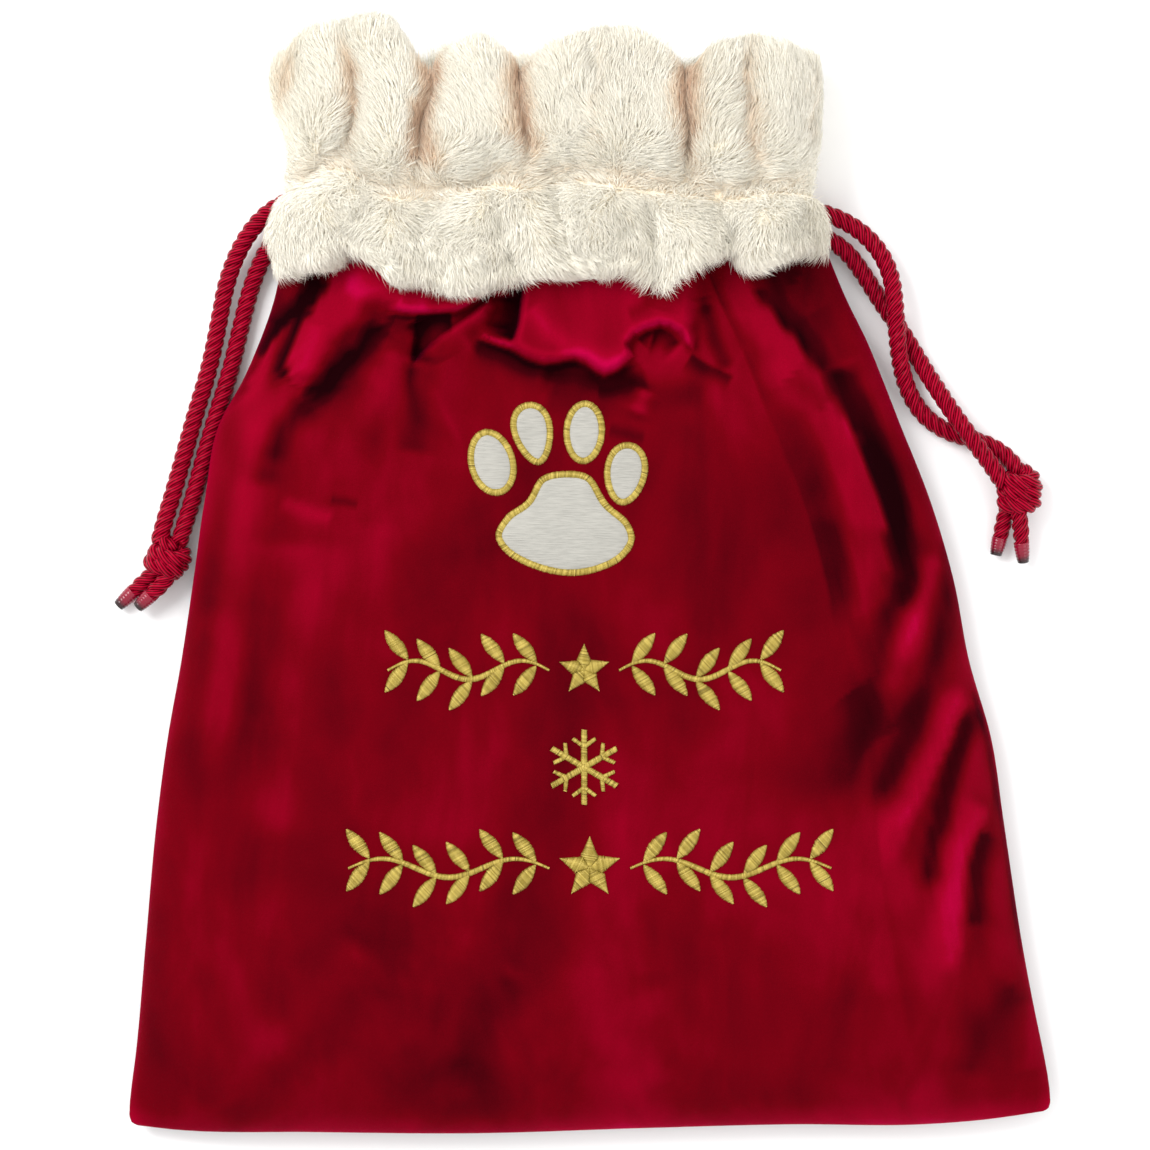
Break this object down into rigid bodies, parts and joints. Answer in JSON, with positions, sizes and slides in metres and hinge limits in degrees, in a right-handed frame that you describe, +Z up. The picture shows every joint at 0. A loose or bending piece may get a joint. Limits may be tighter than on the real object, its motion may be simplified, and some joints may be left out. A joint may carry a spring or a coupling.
{
  "type": "gift sack",
  "caption": "Velvet drawstring gift sack lying flat, with a gathered faux-fur cuff, knotted twisted drawcords, a paw applique and gold leaf embroidery.",
  "frame": {"origin": "on the table, under the middle of the sack's outline", "axes": "+X to the right of the front, +Y towards the mouth, +Z up out of the front face"},
  "size_m": [0.5087, 0.604, 0.066],
  "materials": {
    "velvet": "crimson polyester velvet, short pile",
    "lining_satin": "red satin lining",
    "seam_allowance": "folded and overlocked velvet",
    "faux_fur": "cream long-pile faux fur",
    "casing_tape": "cream woven tape",
    "satin_cord": "crimson twisted satin rope",
    "clear_tip_film": "clear tape wound round the rope's end",
    "felt_pad": "cream felt",
    "gold_thread": "gold satin stitch"
  },
  "bodies": {
    "sack_body": {"back_panel": "velvet", "bottom_seam": "seam_allowance", "casing_tape_back": "casing_tape", "channel_cord_back_lower": "satin_cord", "channel_cord_back_upper": "satin_cord", "embroidered_garland_lower_left": "gold_thread", "embroidered_garland_lower_right": "gold_thread", "embroidered_garland_upper_left": "gold_thread", "embroidered_garland_upper_right": "gold_thread", "embroidered_snowflake": "gold_thread", "embroidered_star_lower": "gold_thread", "embroidered_star_upper": "gold_thread", "front_panel": "velvet", "fur_cuff_back": "faux_fur", "lining_back": "lining_satin", "lining_front": "lining_satin", "paw_main_pad": "felt_pad", "paw_main_pad_border": "gold_thread", "paw_toe_inner_left": "felt_pad", "paw_toe_inner_left_border": "gold_thread", "paw_toe_inner_right": "felt_pad", "paw_toe_inner_right_border": "gold_thread", "paw_toe_outer_left": "felt_pad", "paw_toe_outer_left_border": "gold_thread", "paw_toe_outer_right": "felt_pad", "paw_toe_outer_right_border": "gold_thread", "side_seam_left": "seam_allowance", "side_seam_right": "seam_allowance"},
    "mouth_front": {"fur_cuff_front": "faux_fur", "casing_tape_front": "casing_tape", "channel_cord_front_upper": "satin_cord", "channel_cord_front_lower": "satin_cord"},
    "left_pull": {"drawcord_left_knot": "satin_cord", "drawcord_left_lead_inner": "satin_cord", "drawcord_left_lead_outer": "satin_cord", "drawcord_left_strand_inner": "satin_cord", "drawcord_left_strand_outer": "satin_cord", "drawcord_left_tail_long": "satin_cord", "drawcord_left_tail_short": "satin_cord", "drawcord_left_tip_long": "clear_tip_film", "drawcord_left_tip_short": "clear_tip_film"},
    "right_pull": {"drawcord_right_knot": "satin_cord", "drawcord_right_lead_inner": "satin_cord", "drawcord_right_lead_outer": "satin_cord", "drawcord_right_strand_inner": "satin_cord", "drawcord_right_strand_outer": "satin_cord", "drawcord_right_tail_long": "satin_cord", "drawcord_right_tail_short": "satin_cord", "drawcord_right_tip_long": "clear_tip_film", "drawcord_right_tip_short": "clear_tip_film"}
  },
  "joints": [
    {"name": "mouth_open", "type": "hinge", "parent": "sack_body", "child": "mouth_front", "pos_m": [-0.02, 0.147, 0.056], "axis": [1, 0, 0], "range_deg": [0, 25]},
    {"name": "left_pull_draw", "type": "slide", "parent": "sack_body", "child": "left_pull", "axis": [-1, 0, 0], "range_m": [0, 0.06]},
    {"name": "right_pull_draw", "type": "slide", "parent": "sack_body", "child": "right_pull", "axis": [1, 0, 0], "range_m": [0, 0.06]}
  ]
}
